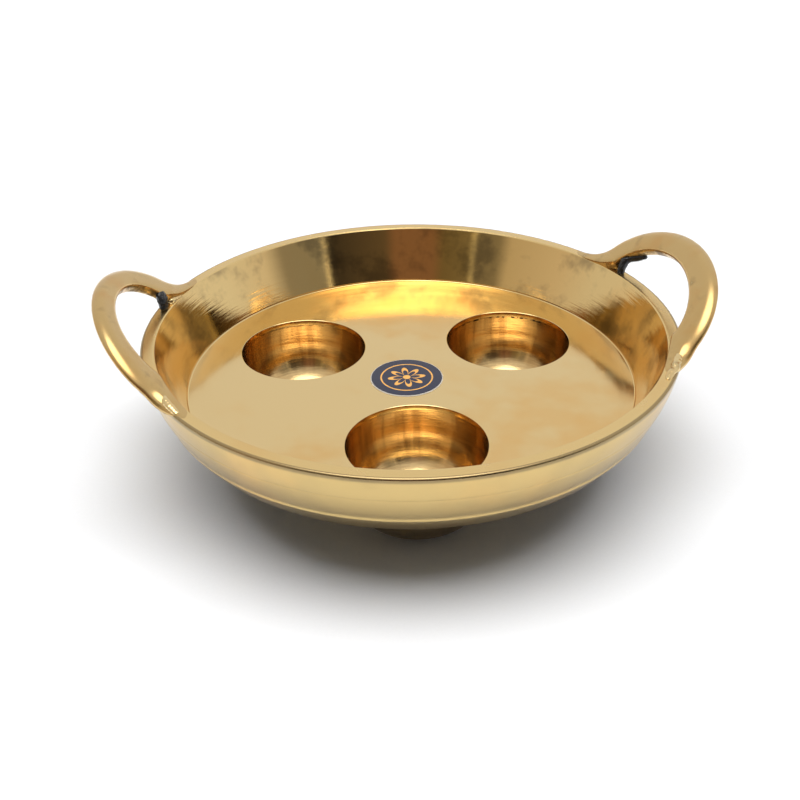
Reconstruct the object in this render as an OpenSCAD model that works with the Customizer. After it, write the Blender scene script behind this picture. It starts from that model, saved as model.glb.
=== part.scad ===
// Three-pit brass pan: a turned, cast bowl with a flat floor, three deep cups
// brazed into the floor from beneath, and two tilted loop handles brazed on the
// rim. The pan stands on the flat bottoms of its cups.
// Origin: on the table, under the bowl's axis. +X runs through the handles.

/* [Bowl] */
// Outer radius of the bowl at its rim
rim_r = 100; // [96:1:130]
// Width of the flat land on top of the rim
land_w = 5.2; // [3:0.1:8]
// Depth of the floor below the rim
floor_depth = 22.2; // [16:0.2:34]
// Lean of the inner wall away from upright, in degrees
wall_lean = 22.7; // [8:0.1:26]
// Thickness of the floor
floor_t = 6.6; // [5:0.1:9]
// Radius of the arc of the outer wall
outer_arc_r = 57; // [50:1:75]
// Height of that arc's centre above the rim
outer_arc_rise = 7.2; // [2:0.2:10]
// Round along the rim's outer edge
rim_round = 0.9; // [0.3:0.1:1.5]
// Round between wall and floor, inside
foot_round = 1.2; // [0.4:0.1:3]
// Round between outer wall and underside
heel_round = 3; // [1:0.5:5]
// Depth below the rim of the turned bead on the outer wall
bead_drop = 21; // [15:0.5:24]
// Depth below the rim of the turned line on the outer wall
line_drop = 9.7; // [6:0.1:12]

/* [Cups] */
// Inner radius of a cup at its mouth
cup_r = 25; // [20:0.5:31]
// Depth of a cup below the floor
cup_depth = 28; // [22:0.5:36]
// Wall thickness of a cup
cup_wall = 3; // [2:0.1:4]
// Radius of the curve that joins a cup's side to its bottom, inside
cup_knuckle = 18; // [12:0.5:19]
// Distance of each cup's centre from the bowl's axis
cup_ring_r = 48.4; // [47:0.2:52]
// Thickness of the floor left over a cup's lip
lip_t = 2; // [1.5:0.1:3]
// Chamfer round each mouth in the floor
mouth_chamfer = 0.5; // [0.2:0.1:1]
// Gap for braze metal between a cup and its seat
braze_gap = 0.05; // [0:0.01:0.15]
// Radius of the braze ring under the floor
cup_braze_r = 2.2; // [1:0.1:3.5]

/* [Handles] */
// Half the width of a handle's loop at its feet
loop_half_w = 44.5; // [36:0.5:54]
// Reach of a loop, measured along its slope
loop_reach = 32.5; // [26:0.5:44]
// Width of the strip at the crown of a loop
strip_w = 9.5; // [7:0.1:12]
// Width of the strip at its feet
foot_w = 12; // [9:0.5:14]
// Thickness of the strip
strip_t = 4.5; // [3:0.1:6]
// Slope of a loop above level, in degrees
loop_tilt = 44; // [30:1:60]
// Distance from a loop's foot line to the rim's edge
foot_inset = 1.55; // [0.5:0.05:3]
// Height of a loop's foot line above the rim
foot_rise = 2; // [1:0.1:3]
// Radius of the braze bead under each foot
handle_braze_r = 3.2; // [2:0.1:4]

/* [Label] */
// Radius of the round paper label on the floor
label_r = 14.1; // [8:0.1:14.5]
// Thickness of the label
label_t = 0.25; // [0.1:0.05:0.5]
// Offset of the label from the bowl's axis, along X and Y
label_offset = [-2, -3];

/* [Hidden] */

// Bearings of the cups about the bowl's axis, as they were marked out by hand
RIGHT_CUP = 25.5;
LEFT_CUP = 145.5;
FRONT_CUP = 263.7;

BRASS = "#d9b873";
BRAZE = "#c9a055";
OVER = 1; // how far a cutting solid runs past what it cuts

// Heights, from the table up
rim_h = floor_depth + cup_depth + cup_wall;
floor_h = rim_h - floor_depth;
underside_h = floor_h - floor_t;

// Radii of the bowl
rim_in_r = rim_r - land_w;
foot_in_r = rim_in_r - floor_depth * tan(wall_lean);
arc_x = rim_r - sqrt(pow(outer_arc_r, 2) - pow(outer_arc_rise, 2));
arc_h = rim_h + outer_arc_rise;

// Cups
cup_out_r = cup_r + cup_wall;
cup_straight = cup_depth - cup_knuckle;

// Handles
loop_in_half_w = loop_half_w - foot_w;
loop_in_reach = loop_reach - strip_w;
foot_x = sqrt(pow(rim_r, 2) - pow(loop_half_w, 2)) - foot_inset;
hole_bearing = asin(loop_in_half_w / rim_r);
foot_bearing = asin(loop_half_w / rim_r);
braze_end_bearing = handle_braze_r / rim_r * 90 / PI; // half a bead's width, in degrees

$fn = 96;

// Radius of the outer wall at a height
function wall_out_r(h) = arc_x + sqrt(pow(outer_arc_r, 2) - pow(h - arc_h, 2));

// Points of half an ellipse, from its right end over its crown to its left end
function half_ellipse(half_w, reach, steps) =
    [for (i = [0:steps]) [half_w * cos(180 * i / steps), reach * sin(180 * i / steps)]];

// ---- bowl -------------------------------------------------------------------

// Half-section of the bowl as if it were solid
module bowl_outline() {
    heel_x = arc_x + sqrt(pow(outer_arc_r - heel_round, 2)
        - pow(arc_h - underside_h - heel_round, 2));
    heel_h = underside_h + heel_round;
    reach = 2 * heel_round / (outer_arc_r - heel_round);
    rim_round_x = wall_out_r(rim_h - rim_round) - rim_round;
    difference() {
        union() {
            intersection() {
                translate([arc_x, arc_h]) circle(outer_arc_r);
                translate([arc_x, underside_h]) square([outer_arc_r, rim_h - underside_h]);
            }
            translate([0, underside_h]) square([arc_x, rim_h - underside_h]);
            translate([wall_out_r(rim_h - bead_drop) - 0.4, rim_h - bead_drop]) circle(0.8);
        }
        // round along the rim
        difference() {
            translate([rim_round_x, rim_h - rim_round]) square(rim_round + OVER);
            translate([rim_round_x, rim_h - rim_round]) circle(rim_round);
        }
        // round at the heel, between the arc's tangent point and the underside
        difference() {
            polygon([
                [heel_x, heel_h],
                [heel_x + (heel_x - arc_x) * reach, heel_h + (heel_h - arc_h) * reach],
                [heel_x + 3 * heel_round, underside_h - OVER],
                [heel_x, underside_h - OVER]
            ]);
            translate([heel_x, heel_h]) circle(heel_round);
        }
        // turned line on the outer wall
        translate([wall_out_r(rim_h - line_drop) + 0.2, rim_h - line_drop]) circle(0.5);
    }
}

// Half-section of the space inside the bowl
module bowl_hollow() {
    half_angle = (90 - wall_lean) / 2;
    to_tangent = foot_round * tan(half_angle);
    centre = [foot_in_r - to_tangent, floor_h + foot_round];
    difference() {
        polygon([
            [0, floor_h],
            [foot_in_r, floor_h],
            [rim_in_r, rim_h],
            [rim_in_r, rim_h + OVER],
            [0, rim_h + OVER]
        ]);
        difference() {
            polygon([
                centre,
                [centre[0], floor_h],
                [foot_in_r, floor_h],
                [foot_in_r + to_tangent * sin(wall_lean), floor_h + to_tangent * cos(wall_lean)]
            ]);
            translate(centre) circle(foot_round);
        }
    }
}

module at_cup(bearing) {
    rotate([0, 0, bearing]) translate([cup_ring_r, 0, 0]) children();
}

// Hole for one cup: its mouth, the mouth's chamfer, and the seat cut from beneath
module cup_hole() {
    translate([0, 0, underside_h - OVER]) cylinder(r = cup_r, h = floor_t + 2 * OVER);
    translate([0, 0, underside_h - OVER])
        cylinder(r = cup_out_r + braze_gap, h = floor_t - lip_t + OVER);
    translate([0, 0, floor_h - mouth_chamfer])
        cylinder(r1 = cup_r, r2 = cup_r + mouth_chamfer + OVER, h = mouth_chamfer + OVER);
}

module bowl() {
    color(BRASS) difference() {
        rotate_extrude() difference() {
            bowl_outline();
            bowl_hollow();
        }
        for (bearing = [RIGHT_CUP, LEFT_CUP, FRONT_CUP]) at_cup(bearing) cup_hole();
    }
}

// ---- cups -------------------------------------------------------------------

// Half-section of a dish with an upright side, a round knuckle and a flat bottom
module dish_section(r, straight, knuckle) {
    translate([0, -straight]) square([r, straight]);
    translate([0, -straight - knuckle]) square([r - knuckle, knuckle]);
    intersection() {
        translate([r - knuckle, -straight]) circle(knuckle);
        translate([r - knuckle, -straight - knuckle]) square(knuckle);
    }
}

module cup(bearing) {
    lip_h = floor_h - lip_t;
    straight = cup_straight - lip_t;
    color(BRASS) at_cup(bearing) translate([0, 0, lip_h]) rotate_extrude() difference() {
        dish_section(cup_out_r, straight, cup_knuckle + cup_wall);
        dish_section(cup_r, straight, cup_knuckle);
    }
}

// Ring of braze metal in the corner between a cup's side and the underside
module cup_braze(bearing) {
    color(BRAZE) at_cup(bearing) rotate_extrude() intersection() {
        translate([cup_out_r, underside_h]) circle(cup_braze_r);
        translate([cup_out_r, underside_h - cup_braze_r]) square(cup_braze_r);
    }
}

// ---- handles ----------------------------------------------------------------

// Flat outline of a loop, its foot line on the X axis
module loop_outline() {
    below = 3 * foot_rise;
    difference() {
        polygon(concat(half_ellipse(loop_half_w, loop_reach, 40),
            [[-loop_half_w, -below], [loop_half_w, -below]]));
        polygon(concat(half_ellipse(loop_in_half_w, loop_in_reach, 32),
            [[-loop_in_half_w, -below - OVER], [loop_in_half_w, -below - OVER]]));
    }
}

// One loop on the +X side, cut to stand on the rim's land and flush with its inner edge
module loop() {
    tall = rim_h + loop_reach + OVER;
    difference() {
        translate([foot_x, 0, rim_h + foot_rise]) rotate([0, -loop_tilt, 0])
            rotate([0, 0, -90]) translate([0, 0, -strip_t])
            linear_extrude(strip_t) loop_outline();
        cylinder(r = rim_r + loop_reach, h = rim_h);
        cylinder(r = rim_in_r, h = tall);
    }
}

module handle(turn) {
    color(BRASS) rotate([0, 0, turn]) loop();
}

// Bead of braze metal along the rim's edge under one foot; side is 1 for the foot
// that lies counter-clockwise of the handle, -1 for the other
module handle_braze(turn, side) {
    from = hole_bearing + braze_end_bearing;
    to = foot_bearing - braze_end_bearing;
    start = side > 0 ? from : -to;
    color(BRAZE) rotate([0, 0, turn + start]) rotate_extrude(angle = to - from) difference() {
        intersection() {
            translate([rim_r, rim_h]) circle(handle_braze_r);
            translate([rim_r - handle_braze_r, rim_h - handle_braze_r])
                square([2 * handle_braze_r, handle_braze_r]);
        }
        bowl_outline();
    }
}

// ---- label ------------------------------------------------------------------

module label() {
    color("#4b4b5f") translate([label_offset[0], label_offset[1], floor_h])
        cylinder(r = label_r, h = label_t);
}

bowl();
cup(RIGHT_CUP);  // cup_right
cup(LEFT_CUP);  // cup_left
cup(FRONT_CUP);  // cup_front
cup_braze(RIGHT_CUP);  // cup_braze_right
cup_braze(LEFT_CUP);  // cup_braze_left
cup_braze(FRONT_CUP);  // cup_braze_front
handle(0);  // handle_right
handle(180);  // handle_left
handle_braze(0, 1);  // handle_braze_right_rear
handle_braze(0, -1);  // handle_braze_right_front
handle_braze(180, -1);  // handle_braze_left_rear
handle_braze(180, 1);  // handle_braze_left_front
label();
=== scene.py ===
"""A three-pit brass pan with two loop handles: its looks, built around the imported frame.

Lengths inside the classes are millimetres; meshes are made in metres, in the frame's own axes:
+Z up, the table at z = 0, the bowl's axis on Z, +X through the right handle.
"""

import logging
import math
from abc import ABC, abstractmethod
from dataclasses import dataclass, field
from enum import Enum
from typing import Callable, Optional, Sequence, Union

import bmesh
import bpy
from bmesh.types import BMEdge, BMesh, BMVert
from bpy.types import ID, ColorRamp, Material, Node, NodeSocket, NodeTree, Object
from mathutils import Matrix, Vector, noise


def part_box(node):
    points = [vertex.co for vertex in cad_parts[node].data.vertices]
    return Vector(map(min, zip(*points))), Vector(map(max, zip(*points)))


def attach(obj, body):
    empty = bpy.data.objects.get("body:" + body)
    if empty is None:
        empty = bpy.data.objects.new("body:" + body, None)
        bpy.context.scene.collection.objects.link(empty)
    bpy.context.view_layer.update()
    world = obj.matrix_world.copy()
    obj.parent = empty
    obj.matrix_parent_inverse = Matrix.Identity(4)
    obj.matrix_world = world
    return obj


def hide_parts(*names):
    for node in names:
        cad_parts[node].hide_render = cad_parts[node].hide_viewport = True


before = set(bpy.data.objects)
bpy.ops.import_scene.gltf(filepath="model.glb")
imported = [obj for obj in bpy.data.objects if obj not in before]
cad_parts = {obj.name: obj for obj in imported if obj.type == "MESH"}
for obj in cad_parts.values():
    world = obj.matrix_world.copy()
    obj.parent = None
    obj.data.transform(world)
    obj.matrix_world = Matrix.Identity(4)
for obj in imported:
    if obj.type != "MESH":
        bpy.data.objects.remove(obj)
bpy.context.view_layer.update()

MM = 0.001
BODY = "root"
Colour = tuple[float, float, float]
Point2 = tuple[float, float]
log = logging.getLogger("pan")


class Slot(Enum):
    """Names for material slots; no piece takes its slot from them."""

    BOWL = "bowl_brass"
    CUP = "cup_brass"
    HANDLE = "handle_brass"
    BRAZE = "braze"
    LABEL = "label_paper"


class Side(Enum):
    """Where a cup or a handle is, seen from the front."""

    RIGHT = "right"
    LEFT = "left"
    FRONT = "front"


# ---- shader graphs ----


def math_method(operation: str, swap: bool = False) -> Callable[..., "Val"]:
    """Makes a method of Val that adds one Math node.

    Args:
        operation: Blender's name of the operation.
        swap: Whether the value itself comes last.

    Returns:
        The method.
    """
    def method(value: "Val", *others: "Number") -> "Val":
        """Adds the node and returns its result."""
        inputs = dict(enumerate((*others, value) if swap else (value, *others)))
        return value.graph.value("ShaderNodeMath", {"operation": operation}, inputs)
    return method


class Val:
    """A value socket that takes part in arithmetic; each operation adds a Math node."""

    def __init__(self, graph: "Graph", socket: NodeSocket) -> None:
        """Keeps the socket and the graph that it belongs to."""
        self.graph = graph
        self.socket = socket

    __add__ = __radd__ = math_method("ADD")
    __mul__ = __rmul__ = math_method("MULTIPLY")
    __sub__ = math_method("SUBTRACT")
    __rsub__ = math_method("SUBTRACT", swap=True)
    __truediv__ = math_method("DIVIDE")
    __abs__ = math_method("ABSOLUTE")
    root = math_method("SQRT")
    least = math_method("MINIMUM")
    most = math_method("MAXIMUM")
    cosine = math_method("COSINE")
    arctan2 = math_method("ARCTAN2")

    def ramp(self, low: float, high: float) -> "Val":
        """Fades from 0 to 1 along a soft S.

        Args:
            low: Where the fade is 0; it may be larger than high.
            high: Where the fade is 1.

        Returns:
            The fade.
        """
        flip = low > high
        inputs = {0: self, 1: min(low, high), 2: max(low, high), 3: float(flip), 4: float(not flip)}
        settings = {"interpolation_type": "SMOOTHSTEP"}
        return self.graph.value("ShaderNodeMapRange", settings, inputs)


Number = Union[float, int, Val]
Input = Union[Number, Sequence[float], NodeSocket]


class Graph:
    """A node tree and the one way that nodes are added to it."""

    def __init__(self, tree: NodeTree) -> None:
        """Empties the tree."""
        self.tree = tree
        tree.nodes.clear()

    def node(self, kind: str, settings: Optional[dict] = None,
             inputs: Optional[dict] = None) -> Node:
        """Adds a node.

        Args:
            kind: Blender's name of the node type.
            settings: Attributes to set first; "stops" gives a colour ramp's stops.
            inputs: Value, Val or socket for each input, by name or index.

        Returns:
            The new node.
        """
        made = self.tree.nodes.new(kind)
        for name, value in (settings or {}).items():
            if name == "stops":
                self._set_stops(made.color_ramp, value)
            else:
                setattr(made, name, value)
        for key, value in (inputs or {}).items():
            socket = made.inputs[key]
            if isinstance(value, Val):
                self.tree.links.new(value.socket, socket)
            elif isinstance(value, NodeSocket):
                self.tree.links.new(value, socket)
            elif isinstance(value, (int, float)):
                socket.default_value = value
            else:
                size = len(socket.default_value)
                socket.default_value = (*value, 1.0)[:size]
        return made

    @staticmethod
    def _set_stops(ramp: ColorRamp, stops: Sequence[tuple[float, Colour]]) -> None:
        """Gives a colour ramp its stops.

        Args:
            ramp: The ramp, with no more stops than are given.
            stops: Place and colour of each.
        """
        while len(ramp.elements) < len(stops):
            ramp.elements.new(1.0)
        for element, (place, colour) in zip(ramp.elements, stops):
            element.position = place
            element.color = (*colour, 1.0)

    def value(self, kind: str, settings: Optional[dict] = None,
              inputs: Optional[dict] = None) -> Val:
        """Adds a node and returns its first output as a Val."""
        return Val(self, self.node(kind, settings, inputs).outputs[0])

    def place(self, output: str = "Object") -> NodeSocket:
        """The point that is shaded, or another output of the coordinates."""
        return self.node("ShaderNodeTexCoord").outputs[output]

    def offset(self, place: Input, centre: Point2) -> tuple[Val, Val, Val]:
        """Measures a place from an upright axis.

        Args:
            place: The place in metres.
            centre: Where the axis stands, in millimetres.

        Returns:
            The three parts of the offset in metres.
        """
        inputs = {0: place, 1: (centre[0] * MM, centre[1] * MM, 0.0)}
        moved = self.node("ShaderNodeVectorMath", {"operation": "SUBTRACT"}, inputs)
        return self.split(moved.outputs[0])

    def split(self, vector: Input) -> tuple[Val, Val, Val]:
        """The three parts of a vector."""
        x, y, z = self.node("ShaderNodeSeparateXYZ", None, {0: vector}).outputs
        return Val(self, x), Val(self, y), Val(self, z)

    def join(self, x: Number, y: Number, z: Number) -> NodeSocket:
        """A vector from its three parts."""
        return self.node("ShaderNodeCombineXYZ", None, {0: x, 1: y, 2: z}).outputs[0]

    def mix(self, factor: Number, low: Input, high: Input) -> NodeSocket:
        """A colour between low at factor 0 and high at factor 1."""
        made = self.node("ShaderNodeMix", {"data_type": "RGBA"}, {0: factor, 6: low, 7: high})
        return made.outputs[2]

    def noise(self, vector: Input, scale: float, detail: float = 2.0, rough: float = 0.5) -> Val:
        """Soft noise from 0 to 1 over a vector."""
        inputs = {"Vector": vector, "Scale": scale, "Detail": detail, "Roughness": rough}
        return self.value("ShaderNodeTexNoise", None, inputs)

    def bump(self, height: Val, depth: float) -> NodeSocket:
        """A normal bent by a height of 0 to 1 that stands for a depth in metres."""
        inputs = {"Strength": 1.0, "Distance": depth, "Height": height}
        return self.node("ShaderNodeBump", None, inputs).outputs[0]


def new_material(name: str) -> tuple[Material, Graph]:
    """Makes an empty material.

    Args:
        name: Its name.

    Returns:
        The material and the graph of its nodes.
    """
    material = bpy.data.materials.new(name)
    material.use_nodes = True
    return material, Graph(material.node_tree)


# ---- finishes ----


@dataclass(frozen=True)
class Mottle:
    """Noise in space, 0 below one level and 1 above another; its scale is per metre."""

    scale: float
    detail: float
    rough: float
    low: float
    high: float

    def over(self, graph: Graph, place: Input) -> Val:
        """The mottle at a place."""
        return graph.noise(place, self.scale, self.detail, self.rough).ramp(self.low, self.high)


BLOTCH = Mottle(24.0, 3.0, 0.55, 0.52, 0.74)
STAIN = Mottle(17.0, 4.0, 0.6, 0.48, 0.66)
SMOKE = Mottle(40.0, 4.0, 0.65, 0.46, 0.66)
PITS = Mottle(520.0, 3.0, 0.6, 0.48, 0.55)
TARNISH = Mottle(120.0, 4.0, 0.6, 0.54, 0.78)
# pale specks that are painted highlights on the flux
GLINT_SPECKS = Mottle(1300.0, 2.0, 0.5, 0.62, 0.72)


@dataclass(frozen=True)
class Trace:
    """Noise drawn out along the tool's path, so many ring pitches wide."""

    pitches: float
    round_turns: float
    detail: float
    rough: float

    def over(self, graph: Graph, along: Val, pitch: float, turn: tuple[Val, Val]) -> Val:
        """The trace so many metres along the tool's path, where the bearing is turn."""
        place = graph.join(along / (pitch * self.pitches), *(t * self.round_turns for t in turn))
        return graph.noise(place, 1.0, self.detail, self.rough)


RINGS = Trace(1.0, 1.3, 3.0, 0.6)
RIDGES = Trace(3.0, 2.5, 3.0, 0.62)
BANDS = Trace(8.0, 0.8, 2.0, 0.5)
ARCS = Trace(1.6, 5.0, 2.0, 0.5)


@dataclass
class Surface:
    """The sockets that a finish ends in; height is in metres."""

    colour: Input
    roughness: Val
    height: Val
    metallic: Number = 1.0
    smoothest: float = 0.03

    def finish(self, graph: Graph) -> None:
        """Adds the shader and the output.

        Args:
            graph: The material's nodes.
        """
        shader = graph.node("ShaderNodeBsdfPrincipled", None, {
            "Base Color": self.colour,
            "Roughness": self.roughness.most(self.smoothest).least(1.0),
            "Metallic": self.metallic,
            "Normal": graph.bump(self.height * (1.0 / MM), MM),
        })
        graph.node("ShaderNodeOutputMaterial", None, {0: shader.outputs[0]})


@dataclass(frozen=True)
class Finish(ABC):
    """A finish with the name of its material."""

    name: str

    @abstractmethod
    def surface(self, graph: Graph) -> Surface:
        """Describes the surface in a graph of nodes."""

    def build(self) -> Material:
        """Makes the material.

        Returns:
            The material.
        """
        material, graph = new_material(self.name)
        self.surface(graph).finish(graph)
        return material


@dataclass
class Lathe:
    """Where a point lies about a turned piece's own axis, and the noises that follow the tool."""

    graph: Graph
    place: NodeSocket
    radius: Val
    z: Val
    turn: tuple[Val, Val]
    rings: Val
    ridges: Val
    bands: Val
    waves: Val
    blotch: Val
    arcs: Val


@dataclass(frozen=True)
class TurnedBrass(Finish):
    """Brass that was turned on a lathe and buffed, with rings about one upright axis."""

    centre: Point2 = (0.0, 0.0)
    colour: Colour = (0.88, 0.64, 0.29)
    warm: Colour = (0.86, 0.52, 0.18)
    roughness: float = 0.13
    streak: float = 0.10
    ring_depth: float = 2.4e-6
    wave_depth: float = 20e-6
    ring_pitch: float = 0.8e-3
    warm_share: float = 0.35
    climb: float = 1.7

    def lathe(self, graph: Graph) -> Lathe:
        """Measures the surface about the piece's own axis.

        Args:
            graph: The material's nodes.

        Returns:
            The place, and the noises that follow the tool there.
        """
        place = graph.place()
        x, y, z = graph.offset(place, self.centre)
        radius = (x * x + y * y).root().most(1e-5)
        turn = (x / radius, y / radius)
        along = radius + z * self.climb
        rings, ridges, bands, arcs = (trace.over(graph, along, self.ring_pitch, turn)
                                      for trace in (RINGS, RIDGES, BANDS, ARCS))
        return Lathe(graph, place, radius, z, turn, rings, ridges, bands,
                     waves=graph.noise(place, 34.0, 1.0, 0.4), blotch=BLOTCH.over(graph, place),
                     arcs=arcs.ramp(0.55, 0.75))

    def dress(self, at: Lathe) -> Surface:
        """Gives the piece its colour, roughness and height.

        Args:
            at: The surface measured about the piece's axis.

        Returns:
            The piece's surface.
        """
        return Surface(
            colour=at.graph.mix(at.blotch * self.warm_share, self.colour, self.warm),
            roughness=self.roughness + (at.bands - 0.5) * self.streak + at.arcs * self.streak * 0.4,
            height=(at.rings + at.ridges * 2 + at.bands * 4) * self.ring_depth
            + at.waves * self.wave_depth,
        )

    def surface(self, graph: Graph) -> Surface:
        """Dresses what was measured."""
        return self.dress(self.lathe(graph))


@dataclass(frozen=True)
class CupBrass(TurnedBrass):
    """A cup's brass: turned inside; the outside is rougher and painted dark as the shade under the
    pan.
    """

    lip_h: float = 29.0
    depth: float = 26.0
    # dark colour of the outside: painted shade under the pan, on a rougher unpolished finish
    shaded_raw: Colour = (0.17, 0.13, 0.08)
    # colour of the painted dark reflections and the painted shade inside the cup
    deep: Colour = (0.40, 0.25, 0.11)
    burnt: Colour = (0.03, 0.02, 0.012)
    pitted: float = 0.0
    # strengths of the painted reflection in upright streaks and of the painted shade in the turning
    # rings
    reflection_column_share: float = 0.75
    groove_shade_share: float = 0.22
    shaded_raw_share: float = 0.9
    raw_grain: float = 60e-6

    def dress(self, at: Lathe) -> Surface:
        """Tells the inside from the outside by the way the surface faces.

        The inside gets a painted dark reflection in upright streaks towards its mouth and painted
        shade in its turning rings, with burnt pits at the seam; the outside is painted dark as the
        shade under the pan.

        Args:
            at: The surface measured about the cup's axis.

        Returns:
            The cup's surface.
        """
        graph, (turn_x, turn_y) = at.graph, at.turn
        surface = super().dress(at)
        facing = graph.split(graph.place("Normal"))
        outside = (turn_x * facing[0] + turn_y * facing[1] - facing[2]).ramp(-0.1, 0.1)
        floor = self.lip_h - self.depth
        side = at.z.ramp((floor + 3) * MM, (floor + 12) * MM)
        upright = graph.join(turn_x * 2.1, turn_y * 2.1, at.z * 9.0)
        # painted reflection: dark upright streaks stand in for the dark windows that the wall
        # reflects
        reflection_columns = graph.noise(upright, 1.6, 3.0, 0.6).ramp(0.60, 0.40)
        # painted shade in the turning rings
        groove_shade = at.rings.ramp(0.40, 0.62)
        shade = (reflection_columns * side * self.reflection_column_share + groove_shade * self.groove_shade_share).least(1.0)
        seam = at.z.ramp((self.lip_h - 1.0) * MM, (self.lip_h - 0.5) * MM) * turn_y.ramp(0.3, 0.8)
        colour = graph.mix(shade, surface.colour, self.deep)
        colour = graph.mix(seam * PITS.over(graph, at.place) * self.pitted, colour, self.burnt)
        # painted shade: the outside is mixed towards the dark colour
        surface.colour = graph.mix(outside * self.shaded_raw_share, colour, self.shaded_raw)
        surface.roughness = surface.roughness + outside * 0.2
        grain = graph.noise(at.place, 500.0, 3.0, 0.6) * outside
        surface.height = surface.height + grain * self.raw_grain
        return surface


@dataclass(frozen=True)
class BowlBrass(TurnedBrass):
    """The bowl's own turned brass: satin land, mirror wall, hazy floor, duller outside, with
    painted shade on the outside and underside and a painted dark reflection along the rim's edge.
    """

    rim_r: float = 100.0
    rim_h: float = 53.2
    floor_h: float = 31.0
    under_h: float = 24.4
    bead_h: float = 32.2
    foot_r: float = 85.5
    lean: float = 22.7
    land_rough: float = 0.26
    wall_rough: float = 0.07
    floor_rough: float = 0.12
    outer_rough: float = 0.22
    under_rough: float = 0.34
    floor_colour: Colour = (0.88, 0.66, 0.33)
    # darker copy of the bowl's brass for the outside: painted shade for the shadowed table that it
    # reflects
    outer_shaded_colour: Colour = (0.65, 0.475, 0.20)
    # dark colour for the painted shade on the underside and the outer wall's foot, the painted
    # reflection at the rim's edge, and the smoke and cloud marks
    shade_and_smoke_colour: Colour = (0.20, 0.15, 0.09)
    wall_ridge: float = 13e-6
    wall_wave: float = 150e-6
    cloud_depth: float = 14e-6
    stain_share: float = 0.55
    smoke_share: float = 0.55
    # strength of the painted dark reflection along the rim's rounded edge
    rim_reflection_share: float = 0.65

    @staticmethod
    def _fade(along: Val, level: float, start: float, stop: float) -> Val:
        """A fade between two distances from a level, all in millimetres."""
        return along.ramp((level + start) * MM, (level + stop) * MM)

    def dress(self, at: Lathe) -> Surface:
        """Tells the bowl's faces apart by height and radius, and gives each its own polish.

        Args:
            at: The surface measured about the bowl's axis.

        Returns:
            The bowl's surface.
        """
        graph, fade = at.graph, self._fade
        slope = math.tan(math.radians(self.lean))
        outward = at.radius - (at.z - self.floor_h * MM) * slope - self.foot_r * MM
        outer = fade(outward, 0.0, 1.6, 2.6)
        floor = fade(at.z, self.floor_h, 0.8, 0.2) * (1.0 - outer)
        land = fade(at.z, self.rim_h, -0.5, -0.1)
        under = fade(at.z, self.under_h, 1.5, 0.3)
        wall = (1.0 - outer) * (1.0 - floor) * (1.0 - land) * (1.0 - under)
        outside = outer * (1.0 - land) * (1.0 - under)
        level = (wall * self.wall_rough + floor * (1.0 - under) * self.floor_rough
                 + land * self.land_rough + outside * self.outer_rough + under * self.under_rough)
        cloudy = graph.noise(at.place, 60.0, 4.0, 0.6)
        # painted shade: the outer wall darkens towards its foot, where it reflects the shadowed
        # table
        low = outside * at.z.ramp((self.bead_h + 6) * MM, self.under_h * MM)
        # painted shade on the underside and the outer wall's foot, with random cloudy patches
        # outside
        shade_and_clouds = (under * 0.9 + outside * 0.10 * cloudy.ramp(0.45, 0.7) + low * 0.30).least(1.0)
        smoky = SMOKE.over(graph, at.place) * wall * self.smoke_share
        # painted reflection: a dark line along the rim's rounded outer edge
        edge = (fade(at.radius, self.rim_r, -1.4, -0.9) * fade(at.radius, self.rim_r, 0.6, -0.1)
                * fade(at.z, self.rim_h, -2.2, -1.2) * self.rim_reflection_share)
        stain = STAIN.over(graph, at.place) * floor * self.stain_share
        colour = graph.mix(floor, self.colour, self.floor_colour)
        # the outside and underside take the darker copy of the brass: painted shade
        colour = graph.mix(outside + under, colour, self.outer_shaded_colour)
        colour = graph.mix(at.blotch * self.warm_share + stain, colour, self.warm)
        fine = self.ring_depth * (1.0 - wall) + self.wall_ridge * wall
        wavy = self.wave_depth * (1.0 - wall) + self.wall_wave * wall
        return Surface(
            # painted shade, smoke and the painted rim reflection darken the colour
            colour=graph.mix((shade_and_clouds + smoky + edge).least(1.0), colour, self.shade_and_smoke_colour),
            roughness=level + (at.bands - 0.5) * self.streak * (floor + outside)
            + (cloudy - 0.5) * 0.16 * floor + (at.ridges - 0.5) * 0.12 * wall
            + at.arcs * self.streak * 0.5 * floor + (cloudy - 0.5) * 0.12 * (land + under),
            height=(at.rings + at.ridges * 2 + at.bands * 3) * fine + at.waves * wavy
            + cloudy * (land + outside) * self.cloud_depth,
        )


@dataclass(frozen=True)
class CastBrass(Finish):
    """Brass as it left the mould, filed and buffed where the hand goes; faces that point down are
    painted darker, partly as rougher cast metal and partly as shade.
    """

    colour: Colour = (0.69, 0.48, 0.21)
    warm: Colour = (0.68, 0.38, 0.12)
    dark: Colour = (0.14, 0.09, 0.045)
    roughness: float = 0.22
    grain: float = 2.5e-6
    grain_below: float = 30.0
    dent: float = 25.0
    dark_share: float = 0.35
    # strength of the darkening on faces that point down: cast metal and painted shade
    under_shade_share: float = 0.8
    warm_share: float = 0.5

    def surface(self, graph: Graph) -> Surface:
        """Wires the surface.

        Args:
            graph: The material's nodes.

        Returns:
            Its sockets.
        """
        place = graph.place()
        # faces that point down: a rougher cast grain, and painted shade in the colour
        below = graph.split(graph.place("Normal"))[2].ramp(0.15, -0.25)
        coarse = graph.noise(place, 260.0, 3.0, 0.5)
        low = graph.noise(place, 70.0, 2.0, 0.5)
        tarnish = TARNISH.over(graph, place) * self.dark_share
        # real tarnish plus painted shade on faces that point down
        stain = (tarnish + below * coarse.ramp(0.35, 0.65) * self.under_shade_share).least(1.0)
        colour = graph.mix(low.ramp(0.45, 0.75) * self.warm_share, self.colour, self.warm)
        return Surface(
            colour=graph.mix(stain, colour, self.dark),
            roughness=self.roughness + (low - 0.5) * 0.16 + stain * 0.2,
            height=coarse * self.grain * (1.0 + below * self.grain_below)
            + low * self.grain * self.dent,
        )


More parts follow.
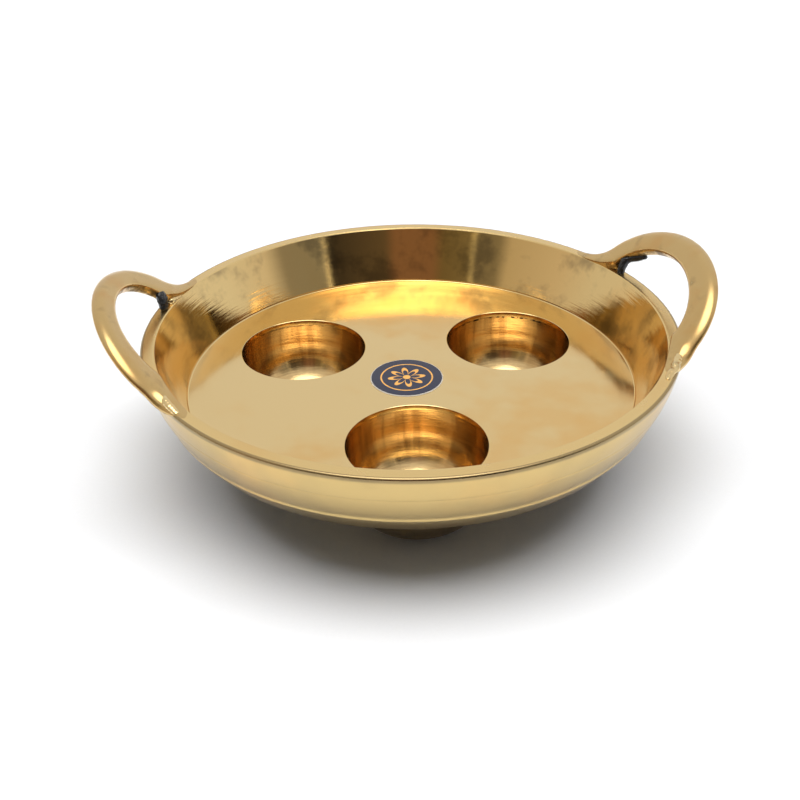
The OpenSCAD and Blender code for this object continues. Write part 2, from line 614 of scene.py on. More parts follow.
@dataclass(frozen=True)
class Glaze(Finish):
    """Glassy black flux that the torch left in the corners, with pale specks painted on as glints.
    """

    colour: Colour = (0.012, 0.014, 0.018)
    # the pale colour is painted glints
    pale: Colour = (0.10, 0.11, 0.12)
    roughness: float = 0.08
    lump: float = 450e-6

    def surface(self, graph: Graph) -> Surface:
        """Wires the surface.

        Args:
            graph: The material's nodes.

        Returns:
            Its sockets.
        """
        place = graph.place()
        lumps = graph.noise(place, 700.0, 3.0, 0.6)
        return Surface(
            # painted highlights: pale specks stand in for glints on the glassy flux
            colour=graph.mix(GLINT_SPECKS.over(graph, place), self.colour, self.pale),
            roughness=self.roughness + lumps * 0.2,
            height=lumps * self.lump,
            metallic=0.0,
        )


@dataclass(frozen=True)
class LabelPrint(Finish):
    """A dark glossy sticker printed with a plain rosette of eight petals inside a thin ring.

    The print is laid out in shares of the sticker's radius.
    """

    centre: Point2
    radius: float
    petals: int = 8
    ground: Colour = (0.022, 0.026, 0.060)
    ink: Colour = (0.80, 0.42, 0.10)
    edge: Colour = (0.55, 0.52, 0.46)
    petal_in: float = 0.16
    petal_long: float = 0.36
    blur: float = 0.012
    ring_r: float = 0.70

    def surface(self, graph: Graph) -> Surface:
        """Wires the surface.

        Args:
            graph: The material's nodes.

        Returns:
            Its sockets.
        """
        place = graph.place()
        x, y, _ = graph.offset(place, self.centre)
        radius = (x * x + y * y).root() / (self.radius * MM)
        leaf = abs((y.arctan2(x) * (self.petals / 2)).cosine())
        tip = self.petal_in + leaf * self.petal_long
        petal = (tip - radius).ramp(-self.blur, self.blur)
        vein = 1.0 - (tip * 0.72 - radius).ramp(-self.blur, self.blur)
        heart = radius.ramp(0.115, 0.095)
        ring = abs(radius - self.ring_r).ramp(0.026, 0.016)
        printed = (petal * vein + heart + ring).least(1.0)
        rim = radius.ramp(0.962, 0.976)
        fleck = graph.noise(place, 2600.0, 2.0, 0.5)
        colour = graph.mix(printed, self.ground, self.ink)
        return Surface(
            colour=graph.mix(rim, colour, self.edge),
            roughness=0.20 + fleck * 0.10 + rim * 0.1,
            height=fleck * 3e-6 + printed * 12e-6 + graph.noise(place, 160.0, 2.0, 0.5) * 40e-6,
            metallic=0.0,
        )


# ---- mesh helpers ----


def arc(centre: Point2, radius: float, start: float, stop: float, steps: int) -> list[Point2]:
    """Points of an arc in a half-section; angles in degrees, both ends included."""
    angles = [math.radians(start + (stop - start) * i / steps) for i in range(steps + 1)]
    return [(centre[0] + radius * math.cos(a), centre[1] + radius * math.sin(a)) for a in angles]


def line(start: Point2, stop: Point2, steps: int) -> list[Point2]:
    """Points along a straight line, both ends included."""
    across, up = stop[0] - start[0], stop[1] - start[1]
    return [(start[0] + across * i / steps, start[1] + up * i / steps) for i in range(steps + 1)]


def spin_section(bm: BMesh, section: Sequence[Point2], steps: int) -> None:
    """Spins a half-section about Z.

    Args:
        bm: The mesh that takes the shell.
        section: Radius and height of each point in millimetres.
        steps: How many faces go round.
    """
    verts = [bm.verts.new((r * MM, 0.0, h * MM)) for r, h in section]
    edges = [bm.edges.new(pair) for pair in zip(verts, verts[1:])]
    bmesh.ops.spin(bm, geom=verts + edges, cent=(0, 0, 0), axis=(0, 0, 1), dvec=(0, 0, 0),
                   angle=2 * math.pi, steps=steps, use_merge=True, use_normal_flip=False,
                   use_duplicate=False)
    bmesh.ops.remove_doubles(bm, verts=bm.verts[:], dist=1e-6)


def add_object(name: str, data: ID) -> Object:
    """Puts a new object into the scene.

    Args:
        name: Its name.
        data: Its mesh or camera.

    Returns:
        The object.
    """
    made = bpy.data.objects.new(name, data)
    bpy.context.scene.collection.objects.link(made)
    return made


def make_piece(name: str, bm: BMesh, material: Material,
               stands_for: Sequence[str] = (), crease: float = 32.0) -> Object:
    """Turns a bmesh into a finished piece that rides on the pan.

    Args:
        name: The piece's name.
        bm: Its mesh, in metres and in place; it is freed.
        material: Its finish.
        stands_for: CAD nodes that it replaces.
        crease: Edges sharper than this many degrees stay sharp.

    Returns:
        The new object.
    """
    bmesh.ops.recalc_face_normals(bm, faces=bm.faces[:])
    for face in bm.faces:
        face.smooth = True
    mesh = bpy.data.meshes.new(name)
    bm.to_mesh(mesh)
    bm.free()
    mesh.set_sharp_from_angle(angle=math.radians(crease))
    mesh.materials.append(material)
    piece = add_object(name, mesh)
    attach(piece, BODY)
    if stands_for:
        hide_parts(*stands_for)
    log.info("%s: %d faces", name, len(mesh.polygons))
    return piece


def centre_of(node: str) -> Point2:
    """Finds the middle of a CAD node seen from above.

    Args:
        node: Its name.

    Returns:
        X and Y in millimetres.
    """
    low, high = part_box(node)
    middle = (low + high) / 2 / MM
    return middle.x, middle.y


# ---- bowl ----


@dataclass
class Bowl:
    """The turned shell: rim land, leaning wall, flat floor with three seats, bulging outside."""

    land: float = 5.2
    floor_drop: float = 22.2
    floor_thick: float = 6.6
    wall_lean: float = 22.7
    arc_r: float = 57.0
    arc_rise: float = 7.2
    rim_round: float = 0.9
    inner_round: float = 0.25
    foot_round: float = 0.6
    heel_round: float = 3.0
    bead_drop: float = 21.0
    line_drop: float = 9.7
    mouth_r: float = 25.0
    mouth_chamfer: float = 0.22
    lip: float = 2.0
    seat_r: float = 28.05
    plate_r: float = 80.0
    rim_r: float = 100.0
    line_half: float = 0.35
    line_deep: float = 0.12
    bead_half: float = 0.8
    bead_high: float = 0.45
    fine_step: float = 0.15
    coarse_step: float = 0.75
    steps: int = 288
    seat_steps: int = 128
    rim_h: float = field(init=False)

    def __post_init__(self) -> None:
        """Reads the rim's height from the frame."""
        self.rim_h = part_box("bowl")[1].z / MM

    @property
    def floor_h(self) -> float:
        """Height of the floor above the table."""
        return self.rim_h - self.floor_drop

    @property
    def under_h(self) -> float:
        """Height of the underside above the table."""
        return self.floor_h - self.floor_thick

    @property
    def land_r(self) -> float:
        """Radius of the land's inner edge."""
        return self.rim_r - self.land

    @property
    def foot_r(self) -> float:
        """Radius where the inner wall meets the floor."""
        return self.land_r - self.floor_drop * math.tan(math.radians(self.wall_lean))

    @property
    def arc_centre_r(self) -> float:
        """Radius where the outer wall's arc has its centre."""
        return self.rim_r - math.sqrt(self.arc_r ** 2 - self.arc_rise ** 2)

    def wall_r(self, drop: float) -> float:
        """Radius of the outer wall at a depth below the rim."""
        return self.arc_centre_r + math.sqrt(self.arc_r ** 2 - (drop + self.arc_rise) ** 2)

    def inside(self) -> list[Point2]:
        """Draws the inner half-section.

        Returns:
            Points from the floor plate's edge up the inner wall to the rim's outer edge.
        """
        lean = self.wall_lean
        to_tangent = self.foot_round * math.tan(math.radians((90 - lean) / 2))
        cove = arc((self.foot_r - to_tangent, self.floor_h + self.foot_round), self.foot_round,
                   -90, -lean, 5)
        edge = arc((self.land_r + self.inner_round, self.rim_h - self.inner_round),
                   self.inner_round, 180 - lean, 90, 3)
        wall = line(cove[-1], edge[0], 44)[1:-1]
        land = line((edge[-1][0], self.rim_h), (self.rim_r - 1.0, self.rim_h), 4)[1:]
        rim = arc((self.wall_r(self.rim_round) - self.rim_round, self.rim_h - self.rim_round),
                  self.rim_round, 85, 0, 5)
        return [(self.plate_r, self.floor_h), *cove, *wall, *edge, *land, *rim]

    def outside(self) -> list[Point2]:
        """Draws the outer half-section.

        Returns:
            Points from under the rim's edge down the outer wall to the floor plate's edge.
        """
        heel_drop = self.rim_h - self.under_h - self.heel_round
        points = []
        drop = self.rim_round + 0.5
        while drop < heel_drop - 0.8:
            line_off, bead_off = drop - self.line_drop, drop - self.bead_drop
            near_line = max(0.0, 1 - (line_off / self.line_half) ** 2)
            near_bead = max(0.0, 1 - (bead_off / self.bead_half) ** 2)
            out = self.bead_high * near_bead - self.line_deep * near_line
            points.append((self.wall_r(drop) + out, self.rim_h - drop))
            busy = abs(line_off) < 1.0 or abs(bead_off) < 1.2
            drop += self.fine_step if busy else self.coarse_step
        below = heel_drop + self.arc_rise
        heel_x = math.sqrt((self.arc_r - self.heel_round) ** 2 - below ** 2)
        heel = arc((self.arc_centre_r + heel_x, self.under_h + self.heel_round),
                   self.heel_round, -math.degrees(math.atan2(below, heel_x)), -90, 8)
        return [*points, *heel, (self.plate_r, self.under_h)]

    def _ring(self, bm: BMesh, centre: Point2,
              level: Point2) -> list[BMEdge]:
        """Draws a circle.

        Args:
            bm: The mesh.
            centre: Its centre in millimetres.
            level: Its radius and height in millimetres.

        Returns:
            Its edges.
        """
        place = Matrix.Translation((centre[0] * MM, centre[1] * MM, level[1] * MM))
        made = bmesh.ops.create_circle(bm, cap_ends=False, segments=self.seat_steps,
                                       radius=level[0] * MM, matrix=place)
        return list({edge for vert in made["verts"] for edge in vert.link_edges})

    @staticmethod
    def _step(bm: BMesh, edges: Sequence[BMEdge], centre: Point2,
              last: Point2, level: Point2) -> list[BMEdge]:
        """Extrudes a circle of edges to a new radius and height.

        Args:
            bm: The mesh.
            edges: The circle.
            centre: Its centre.
            last: Its radius and height.
            level: The new radius and height.

        Returns:
            The new circle's edges.
        """
        grown = bmesh.ops.extrude_edge_only(bm, edges=edges)["geom"]
        verts = [g for g in grown if isinstance(g, BMVert)]
        away = Matrix.Translation((-centre[0] * MM, -centre[1] * MM, 0))
        ratio = level[0] / last[0]
        bmesh.ops.scale(bm, verts=verts, vec=(ratio, ratio, 1), space=away)
        bmesh.ops.translate(bm, verts=verts, vec=(0, 0, (level[1] - last[1]) * MM))
        return [g for g in grown if isinstance(g, BMEdge)]

    def build(self, cups: Sequence[Point2], material: Material) -> Object:
        """Makes the bowl.

        Args:
            cups: Centres of the three seats.
            material: Its finish.

        Returns:
            The piece.
        """
        bm = bmesh.new()
        spin_section(bm, self.inside() + self.outside(), self.steps)
        rims = [e for e in bm.edges if e.is_boundary]
        middle = (self.floor_h + self.under_h) / 2 * MM
        top = [e for e in rims if e.verts[0].co.z > middle]
        bottom = [e for e in rims if e.verts[0].co.z <= middle]
        chamfer, ledge = self.mouth_chamfer, self.floor_h - self.lip
        levels = [
            (self.mouth_r + chamfer, self.floor_h),
            (self.mouth_r + chamfer * 0.25, self.floor_h - chamfer * 0.5),
            (self.mouth_r, self.floor_h - chamfer * 1.2),
            (self.mouth_r, ledge), (self.seat_r, ledge), (self.seat_r, self.under_h),
        ]
        for centre in cups:
            edges = self._ring(bm, centre, levels[0])
            top += edges
            for last, level in zip(levels, levels[1:]):
                edges = self._step(bm, edges, centre, last, level)
            bottom += edges
        for flat in (top, bottom):
            bmesh.ops.triangle_fill(bm, use_beauty=True, use_dissolve=False, edges=flat)
        return make_piece("bowl_shell", bm, material, ["bowl"])


# ---- cups ----


@dataclass
class Cup:
    """A turned cup that hangs in its seat under the floor."""

    side: Side
    lip_h: float
    mouth_r: float = 25.0
    wall: float = 3.0
    knuckle: float = 18.0
    depth: float = 26.0
    steps: int = 160

    @property
    def node(self) -> str:
        """The CAD node that it stands for."""
        return f"cup_{self.side.value}"

    def section(self) -> list[Point2]:
        """Draws the half-section.

        Returns:
            Points from the inside's middle over the lip to the outside's middle.
        """
        floor = self.lip_h - self.depth
        flat = self.mouth_r - self.knuckle
        inside = arc((flat, floor + self.knuckle), self.knuckle, -90, 0, 26)
        outside = arc((flat, floor + self.knuckle), self.knuckle + self.wall, 0, -90, 20)
        top, neck, outer_r = self.lip_h - 0.1, self.lip_h - 4, self.mouth_r + self.wall
        return [
            (0.0, floor), (flat * 0.5, floor), *inside,
            (self.mouth_r, neck), (self.mouth_r, top), (outer_r, top), (outer_r, neck),
            *outside, (flat * 0.5, floor - self.wall), (0.0, floor - self.wall),
        ]

    def build(self, material: Material) -> Object:
        """Makes the cup.

        Args:
            material: Its finish.

        Returns:
            The piece.
        """
        bm = bmesh.new()
        spin_section(bm, self.section(), self.steps)
        x, y = centre_of(self.node)
        bmesh.ops.translate(bm, verts=bm.verts[:], vec=(x * MM, y * MM, 0))
        return make_piece(f"{self.node}_turned", bm, material, [self.node])


# ---- handles ----


@dataclass(frozen=True)
class Station:
    """One section of a handle: the two edges of its broad face, its thickness and its normal."""

    inner: Vector
    outer: Vector
    thick: float
    normal: Vector


# Points round a handle's section, as shares of its half width and half thickness.
BAR = (
    (0.30, -1.0), (0.72, -0.94), (0.97, -0.70), (1.0, -0.28), (0.90, 0.22), (0.66, 0.72),
    (0.36, 1.04), (-0.05, 1.06), (-0.5, 1.05), (-0.80, 1.0), (-0.97, 0.78), (-1.0, 0.35),
    (-1.0, -0.35), (-0.96, -0.80), (-0.80, -1.0), (-0.3, -1.0),
)

# Where a tongue runs out on the rim: its inner edge and its outer edge, each as bearing, radius
# and height over the rim, then its thickness and how upright its section stands.
TONGUE = (
    ((19.4, 95.3, 4.7), (27.0, 100.9, 4.0), 5.4, 0.35),
    ((20.8, 94.9, 3.4), (28.8, 100.3, 2.2), 4.6, 0.7),
    ((24.0, 94.85, 1.5), (30.6, 99.9, 0.9), 2.4, 1.0),
    ((28.4, 94.85, 0.35), (32.8, 99.4, 0.25), 0.9, 1.0),
    ((32.4, 94.9, 0.0), (34.6, 99.0, 0.0), 0.3, 1.0),
)


@dataclass
class Handle:
    """A cast loop that leans outwards and runs out into the rim's land at both feet."""

    side: Side
    turn: float
    rim_h: float
    half_w: float = 44.5
    reach: float = 32.5
    strip: float = 9.5
    foot: float = 12.0
    thick: float = 4.5
    tilt: float = 44.0
    foot_x: float = 88.0
    foot_z: float = 2.0
    square: float = 1.0
    loop_angles: Sequence[float] = (89.9, 78, 66, 54, 43, 33, 24, 16, 10)

    def _on_plane(self, u: float, v: float) -> Vector:
        """A point of the loop's sloping plane: u along the rim, v up the slope."""
        tilt = math.radians(self.tilt)
        return Vector((self.foot_x + v * math.cos(tilt), u, self.foot_z + v * math.sin(tilt)))

    @staticmethod
    def _polar(bearing: float, radius: float, height: float) -> Vector:
        """A point over the rim from its bearing in degrees."""
        a = math.radians(bearing)
        return Vector((radius * math.cos(a), radius * math.sin(a), height))

    def half(self) -> list[Station]:
        """Lays out half of the loop.

        Returns:
            Stations from the crown to the tongue's end.
        """
        tilt = math.radians(self.tilt)
        slope = Vector((-math.sin(tilt), 0, math.cos(tilt)))
        up = Vector((0, 0, 1))
        stations = []
        for a in map(math.radians, self.loop_angles):
            inner = self._on_plane((self.half_w - self.foot) * math.cos(a) ** self.square,
                                   (self.reach - self.strip) * math.sin(a) ** self.square)
            outer = self._on_plane(self.half_w * math.cos(a), self.reach * math.sin(a))
            stations.append(Station(inner, outer, self.thick, slope))
        for inner, outer, thick, upright in TONGUE:
            stations.append(Station(self._polar(*inner), self._polar(*outer), thick,
                                    slope.lerp(up, upright).normalized()))
        return stations

    def stations(self) -> list[Station]:
        """Mirrors the half loop.

        Returns:
            Stations from one tongue over the crown to the other.
        """
        near = self.half()
        flip = Vector((1, -1, 1))
        far = [Station(s.inner * flip, s.outer * flip, s.thick, s.normal * flip) for s in near[1:]]
        return [*reversed(near), *far]

    @staticmethod
    def ring(station: Station) -> list[Vector]:
        """Bends the bar's section to a station.

        Args:
            station: Where the section stands.

        Returns:
            The points round it.
        """
        middle = (station.inner + station.outer) / 2 - station.normal * station.thick / 2
        wide = (station.outer - station.inner) / 2
        deep = station.normal * station.thick / 2
        return [middle + wide * x + deep * y for x, y in BAR]

    def build(self, material: Material) -> Object:
        """Makes the handle.

        Args:
            material: Its finish.

        Returns:
            The piece.
        """
        bm = bmesh.new()
        stations = self.stations()
        made = bmesh.ops.create_circle(bm, cap_ends=True, segments=len(BAR), radius=1.0)
        verts = made["verts"]
        edges = bm.edges[:]
        self._place(verts, stations[0])
        for station in stations[1:]:
            grown = bmesh.ops.extrude_edge_only(bm, edges=edges)["geom"]
            new_verts = [g for g in grown if isinstance(g, BMVert)]
            follow = {self._partner(v, set(verts)): v for v in new_verts}
            verts = [follow[v] for v in verts]
            edges = [g for g in grown if isinstance(g, BMEdge)
                     and all(v in new_verts for v in g.verts)]
            self._place(verts, station)
        bmesh.ops.contextual_create(bm, geom=edges)
        bmesh.ops.transform(bm, verts=bm.verts[:], matrix=Matrix.Scale(MM, 4))
        bmesh.ops.translate(bm, verts=bm.verts[:], vec=(0, 0, self.rim_h * MM))
        bmesh.ops.rotate(bm, verts=bm.verts[:], cent=(0, 0, 0),
                         matrix=Matrix.Rotation(math.radians(self.turn), 3, "Z"))
        node = f"handle_{self.side.value}"
        piece = make_piece(f"{node}_loop", bm, material, [node], crease=180)
        smooth = piece.modifiers.new("smooth", "SUBSURF")
        smooth.levels = smooth.render_levels = 2
        return piece

    @staticmethod
    def _partner(vert: BMVert, olds: set) -> BMVert:
        """The vertex that a new vertex was extruded from."""
        return next(e.other_vert(vert) for e in vert.link_edges if e.other_vert(vert) in olds)

    def _place(self, verts: Sequence[BMVert], station: Station) -> None:
        """Moves a ring of vertices onto a station."""
        for vert, point in zip(verts, self.ring(station)):
            vert.co = point


# ---- braze, flux and label ----


@dataclass(frozen=True)
class Drop:
    """One frozen drop: where it lies over the rim, and its half sizes along, across and up."""

    bearing: float
    radius: float
    height: float
    along: float
    across: float
    up: float


@dataclass
class Weld:
    """A lump of drops that ran together."""

    name: str
    rows: Sequence[Sequence[float]]
    slot: Slot = Slot.BRAZE
    rough: float = 0.22
    voxel: float = 0.32
    fill: int = 3

    def _run(self) -> list[Drop]:
        """Fills in smaller steps between the drops, so that they join up.

        Returns:
            The longer run of drops.
        """
        rows = list(self.rows[:1])
        for last, row in zip(self.rows, self.rows[1:]):
            for share in (step / self.fill for step in range(1, self.fill + 1)):
                rows.append([a + (b - a) * share for a, b in zip(last, row)])
        return [Drop(*row) for row in rows]

    def build(self, material: Material, *stands_for: str) -> Object:
        """Makes the lump.

        Args:
            material: Its finish.
            stands_for: CAD nodes that it replaces.

        Returns:
            The piece.
        """
        bm = bmesh.new()
        for drop in self._run():
            made = bmesh.ops.create_icosphere(bm, subdivisions=3, radius=1.0)["verts"]
            for vert in made:
                far = vert.co * 3.1 + Vector((drop.bearing, drop.radius, drop.height))
                vert.co *= 1 + self.rough * noise.noise(far * 0.7)
            sizes = (drop.across * MM, drop.along * MM, drop.up * MM)
            bmesh.ops.scale(bm, verts=made, vec=sizes)
            bmesh.ops.translate(bm, verts=made, vec=(drop.radius * MM, 0, drop.height * MM))
            bmesh.ops.rotate(bm, verts=made, cent=(0, 0, 0),
                             matrix=Matrix.Rotation(math.radians(drop.bearing), 3, "Z"))
        piece = make_piece(self.name, bm, material, stands_for, crease=180)
        fused = piece.modifiers.new("fuse", "REMESH")
        fused.mode, fused.voxel_size, fused.use_smooth_shade = "VOXEL", self.voxel * MM, True
        soft = piece.modifiers.new("soften", "SMOOTH")
        soft.factor, soft.iterations = 0.5, 2
        return piece


@dataclass
class SeatBraze:
    """The bead of braze that runs round a cup under the bowl."""

    side: Side
    bead: float = 2.2
    steps: int = 150
    lump: float = 0.16

    def build(self, material: Material) -> Object:
        """Makes the bead inside its CAD node's box.

        Args:
            material: Its finish.

        Returns:
            The piece.
        """
        node = f"cup_braze_{self.side.value}"
        low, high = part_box(node)
        x, y = centre_of(node)
        outer = (high.x - low.x) / 2 / MM
        inner, top = outer - self.bead, high.z / MM
        free = arc((inner, top), self.bead, 0, -90, 9)
        bm = bmesh.new()
        spin_section(bm, [(inner, top), *free, (inner, top)], self.steps)
        for vert in bm.verts:
            out = math.hypot(vert.co.x, vert.co.y) / MM - inner
            down = top - vert.co.z / MM
            if out > 0.05 and down > 0.05:
                pull = self.lump * (0.5 + 0.5 * noise.noise(vert.co * 260 + Vector((x, y, 0))))
                middle = Vector((vert.co.x, vert.co.y, 0)).normalized() * inner * MM
                middle.z = top * MM
                vert.co = vert.co.lerp(middle, pull)
        bmesh.ops.translate(bm, verts=bm.verts[:], vec=(x * MM, y * MM, 0))
        return make_piece(f"{node}_bead", bm, material, [node], crease=50)


@dataclass
class Label:
    """A round sticker, slightly domed by its own print."""

    edge: float = 0.45
    steps: int = 96

    def build(self) -> Object:
        """Makes the sticker.

        Returns:
            The piece.
        """
        low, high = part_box("label")
        x, y = centre_of("label")
        radius, bottom, top = (high.x - low.x) / 2 / MM, low.z / MM, high.z / MM
        curve = [(radius - self.edge * (1 - math.sin(a)), bottom + (top - bottom) * math.cos(a))
                 for a in (math.radians(15 * i) for i in range(7))]
        bm = bmesh.new()
        spin_section(bm, [(0.0, top), (radius * 0.5, top), *curve, (radius * 0.5, bottom),
                          (0.0, bottom)], self.steps)
        bmesh.ops.translate(bm, verts=bm.verts[:], vec=(x * MM, y * MM, 0))
        finish = LabelPrint("label_print", (x, y), radius).build()
        return make_piece("label_sticker", bm, finish, ["label"])


# ---- studio ----


@dataclass(frozen=True)
class Screen:
    """The tent's tone at one bearing: 0 faces the pan's front, and right is positive."""

    bearing: float
    tone: Colour


SCREENS = tuple(Screen(*row) for row in (
    (-180, (0.76, 0.75, 0.73)), (-100, (0.66, 0.64, 0.61)),
    (-80, (0.60, 0.53, 0.45)), (-52, (0.50, 0.43, 0.33)),
    (-46, (0.22, 0.19, 0.14)), (-34, (0.20, 0.17, 0.12)),
    (-33.4, (1.10, 0.95, 0.60)), (-32.7, (1.10, 0.95, 0.60)),
    (-32.2, (0.20, 0.16, 0.09)), (-18, (0.16, 0.12, 0.06)),
    (-12, (0.22, 0.12, 0.07)), (8, (0.22, 0.12, 0.07)),
    (12, (0.11, 0.08, 0.05)), (38, (0.05, 0.04, 0.03)),
    (42.4, (0.04, 0.035, 0.03)), (42.9, (1.10, 1.00, 0.75)),
    (43.6, (1.10, 1.00, 0.75)), (44.1, (0.26, 0.25, 0.22)),
    (66, (0.27, 0.25, 0.22)), (76, (0.66, 0.62, 0.57)), (100, (0.74, 0.74, 0.74)),
    (180, (0.76, 0.75, 0.73)),
))


@dataclass
class Studio:
    """A white tent over a pale table, open towards the camera, and the camera itself."""

    rim_h: float
    bearing: float = -8.5
    back_off: float = 331.6
    above_rim: float = 170.3
    pitch: float = 31.68
    pan_left: float = -0.745
    roll: float = 0.974
    lens: float = 44.3
    floor_size: float = 6.0
    screens: Sequence[Screen] = SCREENS
    roof: Colour = (0.70, 0.69, 0.67)
    softbox_seen: Colour = (3.2, 3.15, 3.0)
    softbox_cast: Colour = (7.6, 7.15, 6.85)
    cast_squash: float = 0.38
    fill: float = 0.20
    softbox_edge: tuple[float, float] = (0.90, 0.96)
    roof_edge: tuple[float, float] = (0.62, 0.84)
    cast_edge: tuple[float, float] = (0.1, 0.3)
    cloth: tuple[Colour, Colour] = ((0.81, 0.86, 0.92), (0.84, 0.89, 0.95))

    def camera(self) -> None:
        """Stands the camera in front of the pan, looking down into it."""
        data = bpy.data.cameras.new("camera")
        data.lens, data.sensor_width = self.lens, 36.0
        data.clip_start, data.clip_end = 0.01, 50.0
        camera = add_object("camera", data)
        turn = Matrix.Rotation(math.radians(self.bearing), 4, "Z")
        place = Matrix.Translation((0, -self.back_off * MM, (self.rim_h + self.above_rim) * MM))
        look = (Matrix.Rotation(math.radians(-self.pan_left), 4, "Z")
                @ Matrix.Rotation(math.radians(90 - self.pitch), 4, "X")
                @ Matrix.Rotation(math.radians(-self.roll), 4, "Z"))
        camera.matrix_world = turn @ place @ look
        bpy.context.scene.camera = camera

    def world(self) -> None:
        """Paints the tent: screens all round, dark where it is open, and a softbox overhead."""
        world = bpy.data.worlds.new("tent")
        bpy.context.scene.world = world
        world.use_nodes = True
        graph = Graph(world.node_tree)
        direction = graph.node("ShaderNodeTexCoord").outputs["Generated"]
        turned = graph.node("ShaderNodeVectorRotate", {"rotation_type": "Z_AXIS"},
                            {"Vector": direction, "Angle": math.radians(-self.bearing)})
        x, y, z = graph.split(turned.outputs[0])
        round_tent = x.arctan2(0.0 - y) / (2 * math.pi) + 0.5
        stops = [(screen.bearing / 360 + 0.5, screen.tone) for screen in self.screens]
        screens = graph.node("ShaderNodeValToRGB", {"stops": stops}, {0: round_tent}).outputs[0]
        rays = graph.node("ShaderNodeLightPath").outputs
        cast = Val(graph, rays["Is Diffuse Ray"])
        roof = graph.mix(z.ramp(*self.roof_edge), screens, self.roof)
        roof = graph.mix(cast * (1.0 - self.fill), roof, (0.0, 0.0, 0.0))
        softbox = graph.mix(cast, self.softbox_seen, self.softbox_cast)
        seen_shape = z.ramp(*self.softbox_edge)
        spread = x * x * self.cast_squash + y * y
        inner, outer = 1 - self.softbox_edge[1] ** 2, 1 - self.softbox_edge[0] ** 2
        cast_shape = spread.ramp(outer, inner) * z.ramp(*self.cast_edge)
        tone = graph.mix(seen_shape * (1.0 - cast) + cast_shape * cast, roof, softbox)
        final = graph.mix(Val(graph, rays["Is Camera Ray"]), tone, (1.0, 1.0, 1.0))
        background = graph.node("ShaderNodeBackground", None, {0: final, 1: 1.0})
        graph.node("ShaderNodeOutputWorld", None, {0: background.outputs[0]})

    def table(self) -> None:
        """Lays the pale table under the pan."""
        material, graph = new_material("pale_table")
        colour = graph.mix(graph.noise(graph.place(), 900.0, 2.0, 0.5), *self.cloth)
        shader = graph.node("ShaderNodeBsdfPrincipled", None,
                            {"Base Color": colour, "Roughness": 0.7, "Specular IOR Level": 0.1})
        graph.node("ShaderNodeOutputMaterial", None, {0: shader.outputs[0]})
        bm = bmesh.new()
        bmesh.ops.create_circle(bm, cap_ends=True, segments=96, radius=self.floor_size / 2)
        mesh = bpy.data.meshes.new("table")
        bm.to_mesh(mesh)
        bm.free()
        mesh.materials.append(material)
        add_object("table", mesh)

    def build(self) -> None:
        """Sets up everything that isn't the pan."""
        self.camera()
        self.world()
        self.table()
        bpy.context.scene.view_settings.view_transform = "Standard"


# Drops by the lump that they make, each row in the order of Drop's fields.
BRAZE = {
    "right_rear": (
        (21.0, 98.2, 53.4, 2.4, 1.6, 1.2), (24.5, 98.0, 53.2, 5.0, 1.9, 1.1),
        (29.0, 98.2, 52.9, 5.5, 1.4, 0.6), (33.0, 98.6, 52.7, 1.5, 0.9, 0.5),
    ),
    "right_front": (
        (-23.8, 98.4, 53.4, 4.0, 2.2, 1.7), (-26.8, 98.7, 54.4, 2.6, 1.5, 1.3),
        (-29.9, 98.2, 54.0, 2.2, 1.7, 1.2), (-31.0, 99.1, 53.3, 1.8, 0.9, 1.2),
        (-32.8, 97.6, 53.6, 1.9, 1.5, 1.0), (-34.8, 97.5, 53.2, 1.3, 1.1, 0.6),
    ),
    "left_rear": (
        (159.4, 96.4, 53.8, 2.6, 1.9, 1.6), (156.5, 97.2, 53.2, 5.0, 2.4, 1.3),
        (152.0, 96.9, 52.9, 4.2, 2.0, 0.8), (148.6, 97.4, 52.8, 2.4, 1.4, 0.5),
    ),
    "left_front": (
        (-158.0, 98.4, 53.6, 3.6, 2.0, 1.7), (-155.6, 98.7, 54.7, 2.6, 1.6, 1.5),
        (-153.2, 98.9, 54.5, 2.4, 1.5, 1.4), (-151.0, 98.7, 53.9, 2.0, 1.5, 1.2),
        (-149.2, 98.5, 53.4, 1.5, 1.2, 0.8), (-154.2, 97.0, 53.6, 1.6, 1.0, 1.0),
    ),
}
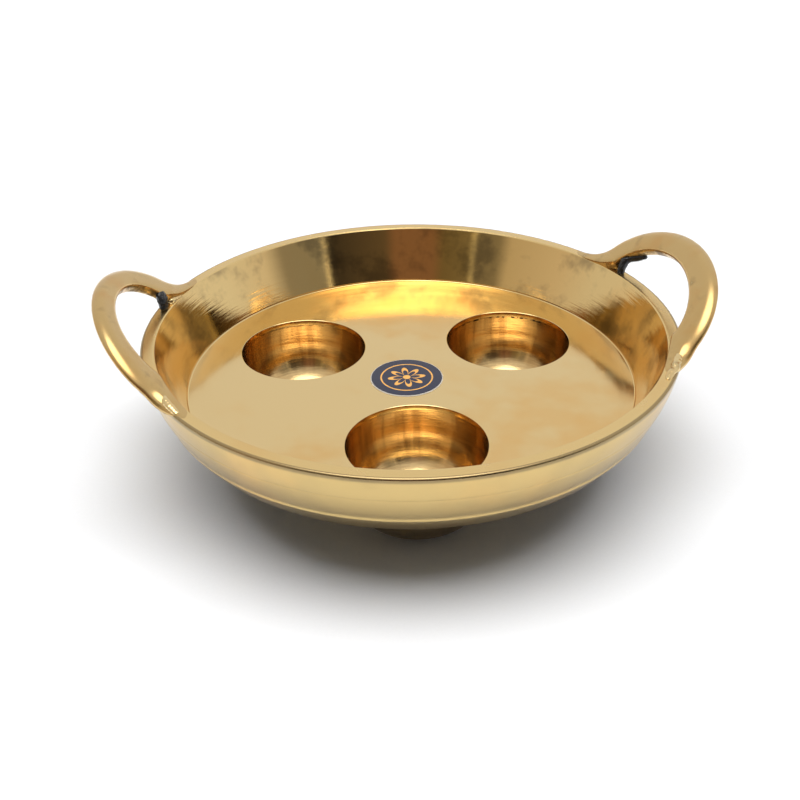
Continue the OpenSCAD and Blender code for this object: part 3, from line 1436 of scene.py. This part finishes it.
FLUX = {
    "right": (
        (17.2, 96.6, 53.7, 1.5, 1.5, 1.2), (17.5, 97.4, 55.6, 1.6, 1.7, 1.8),
        (17.7, 98.8, 57.8, 1.7, 1.8, 1.8), (17.6, 100.4, 58.8, 1.8, 1.8, 1.6),
        (16.0, 102.2, 60.0, 2.0, 1.7, 1.5), (14.6, 103.6, 61.2, 1.8, 1.5, 1.2),
    ),
    "left": (
        (163.4, 96.8, 54.4, 2.4, 1.6, 1.6), (162.9, 97.3, 56.4, 2.6, 1.9, 1.9),
        (162.3, 98.4, 58.4, 2.6, 1.7, 1.5), (161.2, 98.4, 57.4, 2.4, 1.7, 1.9),
    ),
}


def main() -> None:
    """Builds the pan's pieces in order around the frame."""
    logging.basicConfig(level=logging.INFO, format="%(name)s: %(message)s")
    bowl = Bowl()
    Studio(rim_h=bowl.rim_h).build()
    brass = BowlBrass("bowl_turned_brass", rim_h=bowl.rim_h, floor_h=bowl.floor_h,
                      under_h=bowl.under_h, foot_r=bowl.foot_r, lean=bowl.wall_lean)
    cups = [Cup(side, lip_h=bowl.floor_h - bowl.lip) for side in Side]
    bowl.build([centre_of(cup.node) for cup in cups], brass.build())
    braze = CastBrass("braze_metal", colour=(0.86, 0.66, 0.34), warm=(0.82, 0.5, 0.18),
                      roughness=0.16, grain=70e-6, dark_share=0.7, under_shade_share=0.3).build()
    for cup, pitted in zip(cups, (1.0, 0.4, 0.0)):
        finish = CupBrass(f"{cup.node}_turned_brass", centre=centre_of(cup.node),
                          lip_h=cup.lip_h, colour=(0.89, 0.63, 0.30), warm=(0.80, 0.44, 0.14),
                          roughness=0.17, streak=0.16, ring_pitch=1.1e-3, ring_depth=22e-6,
                          warm_share=0.5, pitted=pitted)
        cup.build(finish.build())
        SeatBraze(cup.side).build(braze)
    cast = CastBrass("cast_brass").build()
    Handle(Side.RIGHT, 0.0, bowl.rim_h, tilt=46.0, reach=31.4, strip=10.2, square=1.04).build(cast)
    Handle(Side.LEFT, 180.0, bowl.rim_h, reach=31.9, strip=8.1, foot=14.0, square=0.97).build(cast)
    for name, rows in BRAZE.items():
        Weld(f"braze_{name}", rows).build(braze, f"handle_braze_{name}")
    flux = Glaze("black_flux").build()
    for name, rows in FLUX.items():
        Weld(f"flux_{name}", rows).build(flux)
    Label().build()


if __name__ == "__main__":
    main()
